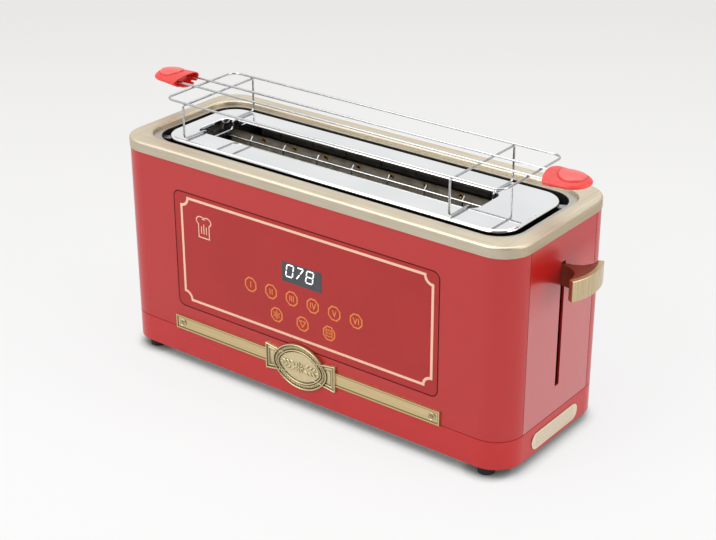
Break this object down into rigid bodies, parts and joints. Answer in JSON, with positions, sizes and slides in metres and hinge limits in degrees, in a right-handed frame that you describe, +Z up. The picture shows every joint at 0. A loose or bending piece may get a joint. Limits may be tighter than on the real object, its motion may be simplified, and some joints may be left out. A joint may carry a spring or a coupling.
{
  "type": "long-slot toaster",
  "caption": "Long-slot toaster with a red rounded body, glass touch panel, push-down lever, crumb tray and a lift-off wire bun rack with soft grips.",
  "frame": {"origin": "on the table, under the middle of the overall length and depth", "axes": "+X towards the lever end, -Y is the touch panel side, +Z up from the table"},
  "size_m": [0.4205, 0.1456, 0.2253],
  "materials": {
    "red_sheet": "satin",
    "red_plastic": "satin",
    "panel_glass": "gloss, painted on the back",
    "champagne_trim": "brushed",
    "antique_brass": "satin",
    "chrome": "polished",
    "steel": "plain",
    "mica": "matte",
    "black_plastic": "matte",
    "circuit_board": "satin",
    "foot_rubber": "matte",
    "coral_silicone": "satin",
    "brown_plastic": "satin"
  },
  "bodies": {
    "body": {"base_band": "red_plastic", "base_plate": "black_plastic", "rubber_feet": "foot_rubber", "foot_screws": "steel", "corner_posts": "black_plastic", "front_shell": "red_sheet", "rear_shell": "red_sheet", "lever_end_panel": "red_plastic", "plain_end_panel": "red_plastic", "top_trim": "champagne_trim", "ledge_ring": "steel", "gap_collar": "black_plastic", "top_plate": "chrome", "plate_tabs": "steel", "glass_panel": "panel_glass", "panel_frame": "black_plastic", "touch_board": "circuit_board", "display_module": "black_plastic", "brass_strip": "antique_brass", "cartouche": "antique_brass", "rosette_pins": "antique_brass", "left_chassis": "steel", "right_chassis": "steel", "front_reflector": "steel", "rear_reflector": "steel", "front_mica": "mica", "rear_mica": "mica", "front_heater": "steel", "rear_heater": "steel", "front_guard": "chrome", "rear_guard": "chrome", "guide_rods": "chrome", "electromagnet": "steel", "power_board": "circuit_board", "relay": "black_plastic", "transformer": "steel", "panel_cable": "black_plastic", "cord_gland": "black_plastic", "lift_spring": "steel"},
    "lever_carriage": {"carriage": "steel", "bread_lift": "chrome", "armature": "steel", "lever_knob": "brown_plastic", "lever_band": "antique_brass"},
    "tray": {"crumb_tray": "steel", "tray_front": "champagne_trim"},
    "rack": {"rack_loop": "chrome", "rack_bars": "chrome", "rack_leg_left": "chrome", "rack_leg_right": "chrome", "left_grip": "coral_silicone", "right_grip": "coral_silicone"}
  },
  "joints": [
    {"name": "lever_slide", "type": "slide", "parent": "body", "child": "lever_carriage", "axis": [0, 0, -1], "range_m": [0, 0.08], "stiffness_N_per_m": 60, "springref_m": -0.05, "deforming": ["lift_spring"]},
    {"name": "tray_slide", "type": "slide", "parent": "body", "child": "tray", "axis": [1, 0, 0], "range_m": [0, 0.3]},
    {"name": "rack_lift", "type": "slide", "parent": "body", "child": "rack", "axis": [0, 0, 1], "range_m": [0, 0.06]}
  ]
}
